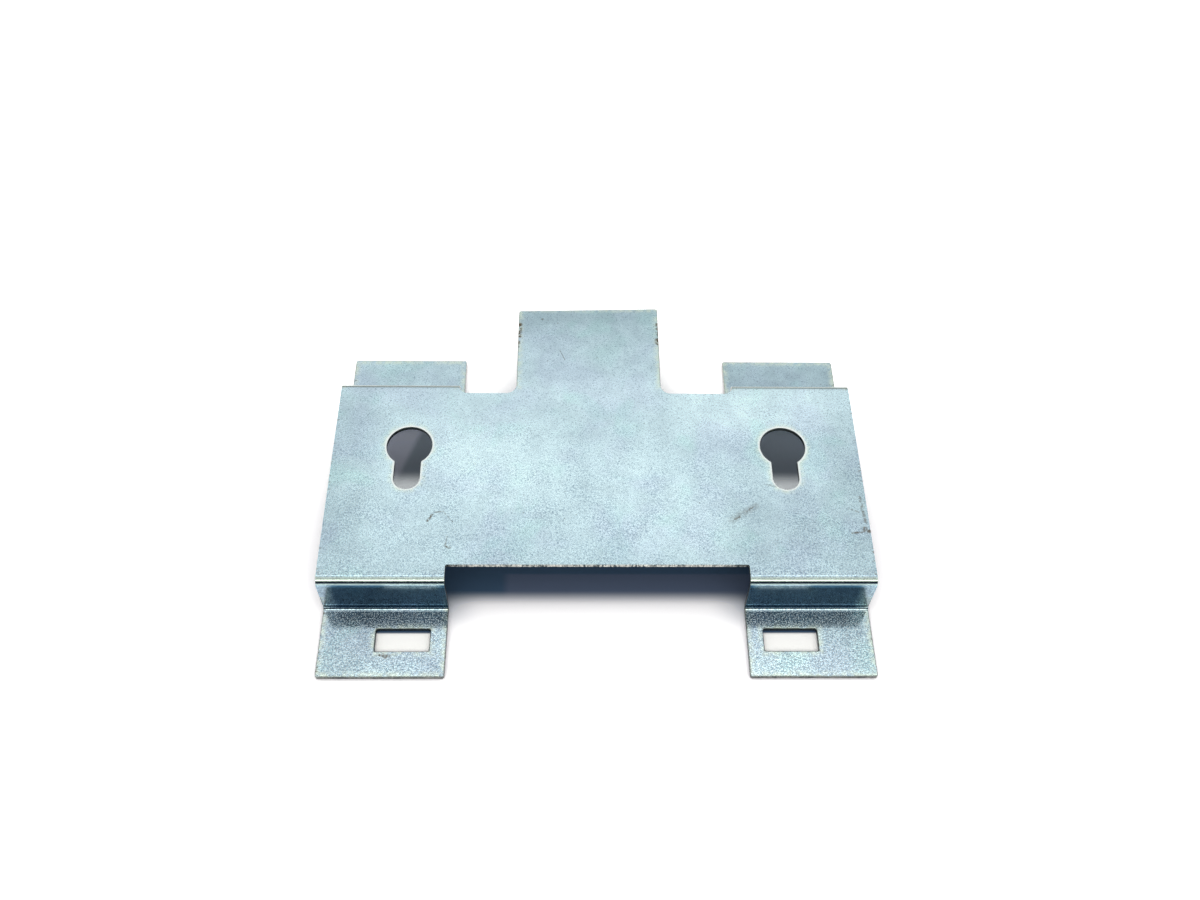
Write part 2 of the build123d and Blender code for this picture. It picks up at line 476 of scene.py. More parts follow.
class Wiring:
    """Adds nodes to a tree and joins them up."""

    def __init__(self, tree):
        self.tree = tree
        self.column = 0

    def add(self, kind, sockets=None, **values):
        node = self.tree.nodes.new(kind)
        self.column += 180
        node.location = (self.column, 0)
        for name, value in values.items():
            setattr(node, name, value)
        for name, value in (sockets or {}).items():
            self.feed(node.inputs[name], value)
        return node

    def feed(self, socket, value):
        """Sets a socket's value, or links it where the value is another socket."""
        if isinstance(value, bpy.types.NodeSocket):
            self.tree.links.new(value, socket)
        else:
            socket.default_value = value

    def math(self, operation, *values):
        return self.add("ShaderNodeMath", dict(enumerate(values)), operation=operation).outputs[0]

    def plus(self, first, second):
        return self.math("ADD", first, second)

    def minus(self, first, second):
        return self.math("SUBTRACT", first, second)

    def times(self, first, second):
        return self.math("MULTIPLY", first, second)

    def greater(self, first, second):
        return self.math("MAXIMUM", first, second)

    def lesser(self, first, second):
        return self.math("MINIMUM", first, second)

    def within(self, value, limit):
        """1 where a value is below a limit, and 0 elsewhere."""
        return self.math("LESS_THAN", value, limit)

    def unsigned(self, value):
        return self.math("ABSOLUTE", value)

    def spread(self, value, low, high, out_low=0.0, out_high=1.0):
        """Maps a range of values on to another, smoothly, and holds them at its ends."""
        node = self.add(
            "ShaderNodeMapRange",
            {"Value": value, "From Min": low, "From Max": high, "To Min": out_low, "To Max": out_high},
            interpolation_type="SMOOTHSTEP",
        )
        return node.outputs["Result"]

    def fade(self, value, low, high):
        """1 below a range, falling smoothly to 0 above it."""
        return self.spread(value, low, high, 1.0, 0.0)

    def noise(self, where, size, detail=2.0, roughness=0.5, distortion=0.0):
        """Cloudy noise whose patches are about one size across."""
        node = self.add(
            "ShaderNodeTexNoise",
            {
                "Vector": where, "Scale": 1 / size, "Detail": detail,
                "Roughness": roughness, "Distortion": distortion,
            },
        )
        return node.outputs["Fac"]

    def cells(self, where, scale):
        """Outputs of a pattern of cells, each with a colour of its own."""
        return self.add("ShaderNodeTexVoronoi", {"Vector": where, "Scale": scale}, feature="F1").outputs

    def chance(self, cells, part):
        """A random number for each cell."""
        return self.add("ShaderNodeSeparateColor", {"Color": cells["Color"]}).outputs[part]

    def parts(self, vector):
        """The X, Y and Z of a vector."""
        return self.add("ShaderNodeSeparateXYZ", {"Vector": vector}).outputs

    def vector(self, operation, first, second):
        return self.add("ShaderNodeVectorMath", {0: first, 1: second}, operation=operation).outputs[0]

    def dot(self, first, second):
        node = self.add("ShaderNodeVectorMath", {0: first, 1: second}, operation="DOT_PRODUCT")
        return node.outputs["Value"]

    def reach(self, vector):
        """How long a vector is."""
        return self.add("ShaderNodeVectorMath", {0: vector}, operation="LENGTH").outputs["Value"]

    def mix(self, factor, first, second, blend="MIX"):
        node = self.add("ShaderNodeMix", data_type="RGBA", blend_type=blend)
        self.feed(node.inputs[0], factor)
        self.feed(node.inputs[6], first)
        self.feed(node.inputs[7], second)
        return node.outputs[2]

    def coat(self, mask, body, rgb):
        """Lays a colour over the body where the mask is 1."""
        return self.mix(mask, body, opaque(rgb))

    def tint(self, mask, body, rgb):
        """Multiplies the body by a colour where the mask is 1."""
        return self.mix(mask, body, opaque(rgb), "MULTIPLY")


def opaque(rgb):
    """A colour with its alpha."""
    return (*rgb, 1.0)


def new_group(name, inputs, outputs):
    """An empty shader node group with named sockets."""
    group = bpy.data.node_groups.new(name, "ShaderNodeTree")
    for way, sockets in (("INPUT", inputs), ("OUTPUT", outputs)):
        for socket, kind in sockets.items():
            group.interface.new_socket(name=socket, in_out=way, socket_type="NodeSocket" + kind)
    wires = Wiring(group)
    return group, wires, wires.add("NodeGroupInput").outputs, wires.add("NodeGroupOutput").inputs


def crystal_grain_group():
    """Fine mottling of the zinc: masks of its pale and dark crystals and the height of their relief."""
    group, wires, given, out = new_group(
        "crystal grain",
        {"Place": "Vector", "Patches per metre": "Float"},
        {"Pale": "Float", "Dark": "Float", "Height": "Float"},
    )
    coarse = wires.add(
        "ShaderNodeTexNoise",
        {"Vector": given["Place"], "Scale": given["Patches per metre"], "Detail": 3.0},
    ).outputs["Fac"]
    cells = wires.cells(given["Place"], wires.times(given["Patches per metre"], 2.1))
    blend = wires.plus(wires.times(coarse, 0.7), wires.times(wires.chance(cells, "Red"), 0.3))
    wires.feed(out["Pale"], wires.spread(blend, 0.36, 0.60))
    rare = wires.spread(wires.chance(cells, "Green"), 0.72, 0.92)
    wires.feed(out["Dark"], wires.times(rare, wires.spread(coarse, 0.6, 0.4)))
    wires.feed(out["Height"], blend)
    return group


def soft_stroke_group():
    """A soft-edged stroke between two places: 1 along its middle, 0 beyond its width."""
    group, wires, given, out = new_group(
        "soft stroke",
        {"Place": "Vector", "Start": "Vector", "End": "Vector", "Width": "Float"},
        {"Mask": "Float"},
    )
    run = wires.vector("SUBTRACT", given["End"], given["Start"])
    from_start = wires.vector("SUBTRACT", given["Place"], given["Start"])
    along = wires.math("DIVIDE", wires.dot(from_start, run), wires.greater(wires.dot(run, run), 1e-12))
    along = wires.lesser(wires.greater(along, 0.0), 1.0)
    foot = wires.add("ShaderNodeVectorMath", {0: run, "Scale": along}, operation="SCALE").outputs[0]
    gap = wires.reach(wires.vector("SUBTRACT", from_start, foot))
    wires.feed(out["Mask"], wires.fade(wires.math("DIVIDE", gap, given["Width"]), 0.15, 1.0))
    return group


def outline_distance_group():
    """How far a place lies outside a rectangle's outline, seen from above. Inside it is negative."""
    group, wires, given, out = new_group(
        "outline distance", {"Place": "Vector", "Middle": "Vector", "Half": "Vector"}, {"Distance": "Float"}
    )
    offset = wires.add(
        "ShaderNodeVectorMath",
        {0: wires.vector("SUBTRACT", given["Place"], given["Middle"])},
        operation="ABSOLUTE",
    ).outputs[0]
    gap = wires.parts(wires.vector("SUBTRACT", offset, given["Half"]))
    wires.feed(out["Distance"], wires.greater(gap["X"], gap["Y"]))
    return group


def relief_distance_group():
    """How far a place lies outside the sheet that rounds a notch's corner. Inside it is negative."""
    group, wires, given, out = new_group(
        "relief distance",
        {"Place": "Vector", "Middle": "Vector", "Radius": "Float", "Way": "Float"},
        {"Distance": "Float"},
    )
    offset = wires.vector("SUBTRACT", given["Place"], given["Middle"])
    offset = wires.vector("MULTIPLY", offset, SEEN_FROM_ABOVE)
    part = wires.parts(offset)
    beside = wires.greater(wires.times(part["X"], given["Way"]), part["Y"])
    inside_arc = wires.minus(given["Radius"], wires.reach(offset))
    wires.feed(out["Distance"], wires.greater(inside_arc, beside))
    return group


# Soft clouds on the plate: start and end across and along it in mm, reach in mm, and strength
BRIGHT_CLOUDS = (
    ((-27, 1), (-12, -2), 14, 0.8),
    ((6, -4), (16, -12), 14, 0.6),
    ((20, 13), (40, 14), 9, 0.8),
    ((-44, -5), (-34, 6), 8, 0.3),
    ((-12, 24), (8, 20), 12, 0.4),
    ((29, -37), (42, -38), 5, 0.8),
)
DULL_CLOUDS = (
    ((-48, -24), (-47, 14), 8, 0.8),
    ((30, -16), (50, -10), 13, 0.8),
    ((48, -24), (48, 6), 9, 0.8),
    ((-40, -24), (40, -23), 7, 0.45),
    ((-16, 38), (-12, 36), 8, 0.9),
    ((-14, 37), (11, 37), 5, 1.0),
    ((-12, 34), (12, 34), 8, 0.4),
    ((27, 28), (50, 26), 12, 1.0),
    ((-50, -36), (-44, -29), 13, 1.0),
    ((-44, -37), (-28, -37), 6, 0.35),
    ((49, -30), (47, -34), 8, 0.7),
)
# Brown marks and scratches on the plating: start and end in mm, width in mm, and strength
STAINS = (
    ((-31.0, -12.4), (-30.0, -10.6), 0.34, 1.0),
    ((-30.0, -10.6), (-28.2, -10.4), 0.22, 0.7),
    ((-28.2, -10.4), (-26.4, -12.6), 0.18, 0.5),
    ((-27.2, -15.6), (-27.5, -17.6), 0.22, 0.6),
    ((-27.5, -17.6), (-26.6, -18.0), 0.36, 0.9),
    ((24.6, -12.2), (29.2, -9.2), 1.2, 0.32),
    ((25.2, -12.0), (26.4, -11.4), 0.4, 0.7),
    ((27.6, -10.2), (28.9, -9.4), 0.35, 0.7),
    ((46.6, -14.9), (50.3, -14.3), 0.35, 0.8),
    ((48.8, -13.9), (50.2, -14.7), 0.7, 0.9),
    ((-7.2, 27.6), (-6.2, 25.2), 0.16, 0.6),
    ((-11.0, 35.8), (-10.8, 35.8), 0.3, 0.8),
    ((0.3, 25.7), (0.4, 25.6), 0.3, 0.7),
    ((-15.4, 34.4), (-15.5, 31.2), 0.7, 1.0),
    ((-15.6, 30.0), (-15.6, 28.6), 0.5, 0.9),
    ((12.6, 34.6), (12.7, 31.6), 0.5, 0.9),
    ((12.6, 30.4), (12.7, 29.4), 0.8, 1.0),
    ((48.9, -7.2), (49.3, -12.6), 0.45, 0.6),
    ((46.6, -9.6), (48.2, -10.4), 0.3, 0.5),
    ((31.5, -4.4), (33.5, -4.9), 0.35, 0.35),
    ((-38.9, -34.5), (-37.3, -34.7), 0.42, 0.9),
    ((-38.2, -34.4), (-37.9, -34.9), 0.5, 0.8),
)


class Plating(Wiring):
    """The zinc plating: its crystals, clouds, rims, marks and sparkle, with painted blue shade on the webs,
    painted shade beside them and a painted highlight round the keyholes.
    """

    def __init__(self, tree, finish, sizes, at):
        super().__init__(tree)
        self.finish, self.sizes, self.at = finish, sizes, at
        self.place = self.add("ShaderNodeTexCoord").outputs["Object"]
        spot = self.parts(self.place)
        self.x, self.y, self.z = spot["X"], spot["Y"], spot["Z"]
        self.across = self.unsigned(self.x)
        self.paired = self.add(
            "ShaderNodeCombineXYZ", {"X": self.across, "Y": self.y, "Z": self.z}
        ).outputs[0]
        self.stroke_group = soft_stroke_group()
        self.outline_group = outline_distance_group()
        self.relief_group = relief_distance_group()
        self.grain = self.use(
            crystal_grain_group(), {"Place": self.place, "Patches per metre": 1 / finish.grain_size}
        )
        self.crisp = self.spread(self.y, -5 * MM, at.notch + 2 * MM, 1.0, 0.35)
        facing = self.unsigned(self.parts(self.add("ShaderNodeNewGeometry").outputs["Normal"])["Z"])
        self.level = self.spread(facing, 0.9, 0.995)
        self.standing = self.fade(facing, 0.38, 0.66)
        bending = self.times(self.spread(facing, 0.3, 0.6), self.fade(facing, 0.93, 0.99))
        bending = self.times(bending, self.spread(self.z, at.top / 2, at.top / 2 + MM))
        self.front_bend = self.times(bending, self.fade(self.y, at.cutout - 0.6 * MM, at.cutout))
        self.rear_bend = self.times(bending, self.spread(self.y, at.notch, at.notch + MM))

    def use(self, group, sockets):
        """Places a node group and gives its outputs."""
        return self.add("ShaderNodeGroup", sockets, node_tree=group).outputs

    def rectangle(self, left, front, right, rear, paired=True):
        """Distance outside a rectangle, repeated on the other side where it is one of a pair."""
        return self.use(self.outline_group, {
            "Place": self.paired if paired else self.place,
            "Middle": ((left + right) / 2, (front + rear) / 2, 0),
            "Half": ((right - left) / 2, (rear - front) / 2, 0),
        })["Distance"]

    def disc(self, x, y, radius):
        """Distance outside a pair of discs."""
        offset = self.vector("SUBTRACT", self.paired, (x, y, 0))
        return self.minus(self.reach(self.vector("MULTIPLY", offset, SEEN_FROM_ABOVE)), radius)

    def round_corner(self, side, radius, way, paired=False):
        """Distance outside the sheet in a notch's corner. Way is -1 where the sheet is at its right."""
        return self.use(self.relief_group, {
            "Place": self.paired if paired else self.place,
            "Middle": (side + way * radius, self.at.notch + radius, 0),
            "Radius": radius,
            "Way": way,
        })["Distance"]

    def stroke(self, place, start, end, width):
        """A soft stroke between two places."""
        sockets = {"Place": place, "Start": start, "End": end, "Width": width}
        return self.use(self.stroke_group, sockets)["Mask"]

    def strokes(self, rows):
        """The strongest of several soft strokes on the plate, the feet and the tabs."""
        total = 0.0
        for (x0, y0), (x1, y1), width, strength in rows:
            on_flap = y0 < -26 or abs(x0) > 26 and y0 > 20
            height = self.sizes.sheet if on_flap else self.at.top
            mask = self.stroke(
                self.place, (x0 * MM, y0 * MM, height), (x1 * MM, y1 * MM, height), width * MM
            )
            total = self.greater(self.times(mask, strength), total)
        return total

    def keyhole_distance(self):
        """Distance outside the keyholes."""
        at, sizes = self.at, self.sizes
        x, half, end = sizes.keyhole_spacing / 2, sizes.keyhole_neck / 2, at.keyhole - sizes.keyhole_drop
        head = self.disc(x, at.keyhole, sizes.keyhole_head)
        neck = self.rectangle(x - half, end, x + half, at.keyhole)
        return self.lesser(self.lesser(head, self.disc(x, end, half)), neck)

    def rim_depth(self, keyhole):
        """How far inside the nearest cut edge a place lies."""
        at, sizes = self.at, self.sizes
        upper = self.rectangle(-at.side, at.cutout, at.side, at.notch, False)
        for part in (
            self.rectangle(at.tab_inner, at.cutout - 5 * MM, at.side, at.rear_web),
            self.rectangle(at.foot_inner, at.front_web - MM, at.side, at.cutout + MM),
            self.rectangle(at.tongue_left, 0, at.tongue_right, at.tongue_end, False),
            self.round_corner(at.tab_inner, at.web_relief, -1, paired=True),
            self.round_corner(at.tongue_left, sizes.relief_radius, -1),
            self.round_corner(at.tongue_right, sizes.relief_radius, 1),
        ):
            upper = self.lesser(upper, part)
        upper = self.greater(upper, self.times(keyhole, -1.0))
        foot = self.rectangle(at.foot_inner, at.front_edge, at.side, at.front_web + 3 * MM)
        tab = self.rectangle(at.tab_inner, at.rear_web - 3 * MM, at.side, at.tab_end)
        slot = self.rectangle(
            at.slot_x - sizes.slot_length / 2, at.slot_y - sizes.slot_width / 2,
            at.slot_x + sizes.slot_length / 2, at.slot_y + sizes.slot_width / 2,
        )
        lower = self.greater(self.lesser(foot, tab), self.times(slot, -1.0))
        pick_one = self.add("ShaderNodeMix", data_type="FLOAT")
        self.feed(pick_one.inputs[0], self.math("GREATER_THAN", self.z, at.top / 2))
        self.feed(pick_one.inputs[2], lower)
        self.feed(pick_one.inputs[3], upper)
        return self.times(pick_one.outputs[0], -1.0)

    def crystals(self):
        """The mottled zinc, its grain sharp in front and softer towards the rear, with painted shade on the
        feet beside the front webs.
        """
        finish, at = self.finish, self.at
        contrast = self.spread(self.noise(self.place, 6 * MM), 0.35, 0.65, 0.45, 1.0)
        contrast = self.times(contrast, self.spread(self.y, at.cutout, at.front_web, 0.8, 1.7))
        rearwards = self.spread(self.y, at.notch, at.notch + 6 * MM, 0.0, 0.36)
        even = self.coat(rearwards, opaque(finish.pale), finish.deep)
        mottled = self.coat(self.grain["Pale"], opaque(finish.deep), finish.pale)
        body = self.mix(self.times(contrast, self.crisp), even, mottled)
        body = self.coat(self.times(self.grain["Dark"], 0.5), body, finish.dark_crystal_and_shade)
        # painted shade on the feet beside the front webs, where they reflect the dark webs
        beside_web = self.spread(self.y, at.front_web - 5 * MM, at.front_web - 3 * MM, 0.42, 0.15)
        strip_shade = self.times(self.minus(1.0, self.grain["Pale"]), beside_web)
        strip_shade = self.times(strip_shade, self.spread(self.y, at.cutout, at.front_web))
        return self.coat(strip_shade, body, finish.dark_crystal_and_shade)

    def clouds(self, body):
        """Violet and green casts, small mottle, and the bright and the dull clouds."""
        finish, place = self.finish, self.place
        lilac = self.spread(self.noise(place, 12 * MM, 3.0, distortion=0.4), 0.44, 0.66)
        body = self.tint(lilac, body, finish.lilac)
        green = self.spread(self.noise(place, 9 * MM, 4.0, distortion=0.6), 0.5, 0.7)
        body = self.tint(green, body, finish.green)
        mottle = self.spread(self.noise(place, 3 * MM, 4.0, 0.6), 0.35, 0.65)
        body = self.tint(mottle, body, finish.mottle)
        drift = self.noise(place, 9 * MM, 3.0)
        bright = self.times(self.strokes(BRIGHT_CLOUDS), self.spread(drift, 0.3, 0.6, 0.5, 1.0))
        body = self.tint(bright, body, finish.bright)
        dull = self.times(self.strokes(DULL_CLOUDS), self.spread(drift, 0.3, 0.6, 1.0, 0.6))
        return self.tint(dull, body, finish.dull)

    def rims(self, body):
        """A straw cast and a dark line along the cut edges, and a painted highlight in a bright ring round
        the keyholes.
        """
        finish, at = self.finish, self.at
        keyhole = self.keyhole_distance()
        depth = self.rim_depth(keyhole)
        ragged = self.noise(self.place, 1.2 * MM, 3.0)
        straw = self.times(self.fade(depth, 0.1 * MM, 1.5 * MM), self.spread(ragged, 0.3, 0.65))
        body = self.coat(self.times(straw, 0.6), body, finish.straw)
        # a dark line just inside the cut edges, weaker towards the rear
        rim_line = self.times(self.fade(depth, 0.08 * MM, 0.26 * MM), self.spread(ragged, 0.3, 0.55, 0.5, 0.85))
        rim_line = self.times(rim_line, self.spread(depth, -0.14 * MM, -0.08 * MM))
        rim_line = self.times(rim_line, self.spread(self.y, at.notch - 3 * MM, at.notch - MM, 1.0, 0.6))
        body = self.coat(rim_line, body, finish.outline)
        # painted highlight: a bright ring round the keyholes
        self.ring = self.spread(keyhole, 0.15 * MM, 0.6 * MM, 0.9, 0.0)
        return self.coat(self.ring, body, finish.flake_and_ring_highlight)

    def marks(self, body):
        """Stains and scratches, ticks along the sides, and scattered dots."""
        ticks = self.noise(self.vector("MULTIPLY", self.place, (0.35, 1.0, 1.0)), 0.35 * MM, 1.0)
        ticks = self.times(
            self.spread(ticks, 0.62, 0.7), self.fade(self.minus(self.at.side, self.across), 0.0, 0.9 * MM)
        )
        broken = self.spread(self.noise(self.place, 0.4 * MM), 0.34, 0.56)
        marked = self.greater(self.times(self.strokes(STAINS), broken), self.times(ticks, 0.8))
        cells = self.cells(self.place, 1 / (1.9 * MM))
        dots = self.times(
            self.fade(cells["Distance"], 0.04, 0.09), self.spread(self.chance(cells, "Red"), 0.7, 0.9)
        )
        self.marked = self.greater(marked, self.times(dots, 0.6))
        return self.coat(self.marked, body, self.finish.stain)

    def webs(self, body):
        """Painted shade: a deeper blue on the faces that stand up, where they reflect the dark room in
        front, with painted reflections of the floor that leave it lighter at their ends and high on the
        front webs, and weaker on the rear webs.
        """
        at = self.at
        blue = self.spread(self.across, at.side - 3.2 * MM, at.side - 1.4 * MM, 0.9, 0.35)
        web_reflection = self.stroke(
            self.paired,
            (29 * MM, at.front_web, at.top - 1.2 * MM), (37 * MM, at.front_web, at.top - 1.0 * MM),
            1.6 * MM,
        )
        blue = self.minus(blue, self.times(web_reflection, 0.35))
        blue = self.times(blue, self.spread(self.y, 0, 10 * MM, 1.0, 0.45))
        return self.coat(self.times(self.standing, blue), body, self.finish.web)

    def film(self, body):
        """Milky flakes of the film, palest on the feet. Gives the body and how metallic it is."""
        finish, at = self.finish, self.at
        flakes = self.spread(self.noise(self.place, 0.23 * MM, 1.0), 0.5, 0.62)
        flakes = self.times(flakes, self.spread(self.y, at.cutout, at.front_web, 0.35, 1.0))
        flakes = self.times(flakes, self.crisp)
        sparks = self.times(flakes, self.spread(self.y, at.cutout, at.front_web, 0.1, 0.35))
        body = self.coat(self.times(sparks, self.level), body, finish.flake_and_ring_highlight)
        metal = self.minus(finish.metal, self.times(flakes, finish.flake_film))
        metal = self.greater(self.fade(self.level, 0.4, 1.0), metal)
        # less metallic in the painted highlight round the keyholes
        metal = self.times(metal, self.spread(self.ring, 0.0, 1.0, 1.0, 0.35))
        return body, self.times(metal, self.spread(self.marked, 0.0, 1.0, 1.0, 0.3))

    def bends(self, body):
        """Yellow on the front bends, and painted shade as a dark line on the rear ones."""
        body = self.coat(self.times(self.front_bend, 0.5), body, self.finish.straw)
        return self.coat(self.times(self.rear_bend, 0.8), body, self.finish.outline)

    def roughness(self):
        """Rougher on the bends, on the faces that stand up and on the marks."""
        mean = self.finish.roughness
        rough = self.spread(self.noise(self.place, 0.8 * MM), 0.3, 0.7, mean * 0.8, mean * 1.25)
        for mask, more in ((self.front_bend, 0.05), (self.standing, 0.08), (self.marked, 0.3)):
            rough = self.plus(rough, self.times(mask, more))
        return rough

    def sparkle(self):
        """Normals tilted by the relief of the crystals, most on the feet away from the webs."""
        finish, at = self.finish, self.at
        relief = self.spread(self.y, at.cutout, at.front_web, finish.foot_sparkle, finish.rolled_sparkle)
        on_feet = self.fade(self.y, at.front_web - 5.5 * MM, at.front_web - 3.5 * MM)
        relief = self.times(self.greater(relief, on_feet), self.crisp)
        strength = self.times(self.spread(self.level, 0, 1, 0.06, 1.0), relief)
        bump = self.add(
            "ShaderNodeBump",
            {"Height": self.grain["Height"], "Distance": finish.grain_height, "Strength": strength},
        )
        return bump.outputs["Normal"]


def new_material(name):
    """A material with its Principled BSDF's inputs."""
    material = bpy.data.materials.new(name)
    material.use_nodes = True
    return material, material.node_tree.nodes["Principled BSDF"].inputs


def zinc_plate(finish, sizes, at):
    """Bright blue-passivated zinc, mottled by its crystals, cloudy, stained and yellower at its rims."""
    material, shader = new_material("zinc_plate")
    wires = Plating(material.node_tree, finish, sizes, at)
    body = wires.webs(wires.marks(wires.rims(wires.clouds(wires.crystals()))))
    body, metal = wires.film(body)
    wires.feed(shader["Base Color"], wires.bends(body))
    wires.feed(shader["Metallic"], metal)
    wires.feed(shader["Roughness"], wires.roughness())
    wires.feed(shader["Normal"], wires.sparkle())
    return material


def sheared_edge(finish, at):
    """Steel edge where the blank was cut, streaked from face to face, painted dark as shade, with painted
    highlights in its streaks along the cut-out, the feet's front edges and the notches, and a painted
    reflection on the tabs.
    """
    material, shader = new_material("sheared_edge")
    wires = Wiring(material.node_tree)
    place = wires.add("ShaderNodeTexCoord").outputs["Object"]
    streaks = wires.noise(wires.vector("MULTIPLY", place, (1.0, 1.0, 0.25)), 0.3 * MM, 3.0)
    blotches = wires.noise(place, 1.4 * MM)
    both = wires.plus(wires.times(streaks, 0.6), wires.times(blotches, 0.4))
    spot = wires.parts(place)
    upper = wires.math("GREATER_THAN", spot["Z"], at.top / 2)
    # painted highlights in streaks on the cut-out's edge, the feet's front edges and towards the notches
    lip_highlight = wires.times(upper, wires.within(spot["Y"], at.cutout + MM))
    lip_highlight = wires.times(lip_highlight, wires.within(wires.unsigned(spot["X"]), at.foot_inner - MM / 2))
    toe_glint = wires.times(wires.within(spot["Y"], at.front_edge + MM), 0.3)
    bright = wires.greater(wires.greater(lip_highlight, toe_glint), 0.03)
    bright = wires.greater(bright, wires.spread(spot["Y"], at.notch - MM, at.notch, 0.0, 0.5))
    bright = wires.times(wires.spread(both, 0.36, 0.62), bright)
    # painted reflection of the floor on the cut edges beside the tabs
    tab_reflection = wires.spread(spot["Y"], at.rear_web - 2 * MM, at.rear_web, 0.0, 0.9)
    body = wires.coat(wires.greater(bright, tab_reflection), opaque(finish.sheared), finish.sheared_highlight)
    body = wires.coat(wires.spread(blotches, 0.62, 0.74, 0.0, 0.5), body, finish.stain)
    wires.feed(shader["Base Color"], body)
    shader["Metallic"].default_value = 0.8
    wires.feed(shader["Roughness"], wires.spread(streaks, 0.3, 0.7, 0.25, 0.5))
    bump = wires.add("ShaderNodeBump", {"Height": streaks, "Distance": 0.02 * MM, "Strength": 1.0})
    wires.feed(shader["Normal"], bump.outputs["Normal"])
    return material


class BRACKET_OT_finish(bpy.types.Operator):
    """Give the sheet its zinc plating and its sheared edges"""

    bl_idname = "bracket.finish"
    bl_label = "Zinc finish"

    def execute(self, context):
        finish, sizes = context.scene.zinc_finish, context.scene.bracket_sizes
        at = Places(sizes)
        mesh = bpy.data.objects[PIECE].data
        mesh.materials.clear()
        mesh.materials.append(zinc_plate(finish, sizes, at))
        mesh.materials.append(sheared_edge(finish, at))
        bends = ((at.front_web - MM, at.cutout - MM), (at.notch + MM / 2, at.rear_web + MM))
        for face in mesh.polygons:
            folded = any(low < face.center.y < high for low, high in bends)
            cut = abs(face.normal.z) < 0.6 and (abs(face.normal.x) > 0.3 or not folded)
            face.material_index = 1 if cut else 0
        return {"FINISHED"}


# ------------------------------------------------------------
# The stage
# ------------------------------------------------------------

FRONT_ARCH = (
    # degrees up from the front horizon, over the top to the rear horizon, and the light there
    (0, (0.30, 0.36, 0.42)),
    (10, (0.20, 0.26, 0.32)),
    (14, (0.01, 0.015, 0.03)),
    (40, (0.01, 0.015, 0.03)),
    (42, (3.0, 2.95, 2.75)),
    (55, (3.0, 2.95, 2.75)),
    (58, (0.01, 0.015, 0.03)),
    (65.5, (0.01, 0.015, 0.03)),
    (68, (0.9, 0.9, 0.9)),
    (97, (0.7, 0.7, 0.7)),
    (100, (1.8, 1.8, 1.8)),
    (111, (1.8, 1.8, 1.8)),
    (116, (0.92, 0.92, 0.92)),
    (122, (1.0, 1.0, 1.0)),
    (132, (0.85, 0.85, 0.85)),
    (180, (0.7, 0.7, 0.7)),
)
SIDES = (
    # degrees up from the horizon on either side, and the light there
    (0, (0.55, 0.55, 0.56)),
    (25, (0.7, 0.7, 0.71)),
    (50, (0.85, 0.85, 0.85)),
    (90, (1.0, 1.0, 1.0)),
)


def light_ramp(wires, where, stops, whole):
    """A colour ramp whose stops are given in degrees of a whole turn."""
    ramp = wires.add("ShaderNodeValToRGB", {"Fac": where})
    made = ramp.color_ramp.elements
    while len(made) < len(stops):
        made.new(0.5)
    for spot, (degrees, _) in zip(made, stops):
        spot.position = degrees / whole
    for spot, (degrees, light) in zip(made, stops):
        spot.position = degrees / whole
        spot.color = opaque(light)
    return ramp.outputs["Color"]


def studio_sky():
    """Soft light overhead and behind, and in front a strip light between dark panels."""
    world = bpy.data.worlds.new("studio")
    world.use_nodes = True
    wires = Wiring(world.node_tree)
    way = wires.parts(wires.add("ShaderNodeTexCoord").outputs["Generated"])
    over = wires.math("DIVIDE", wires.math("ARCTAN2", way["Z"], wires.times(way["Y"], -1.0)), math.pi)
    arch = light_ramp(wires, over, FRONT_ARCH, 180)
    rise = wires.math("DIVIDE", wires.math("ARCSINE", way["Z"]), math.pi / 2)
    sides = light_ramp(wires, rise, SIDES, 90)
    light = wires.mix(wires.spread(wires.unsigned(way["X"]), 0.42, 0.58), arch, sides)
    seen = wires.add("ShaderNodeLightPath").outputs["Is Camera Ray"]
    wires.feed(world.node_tree.nodes["Background"].inputs["Color"], wires.coat(seen, light, (1, 1, 1)))
    return world


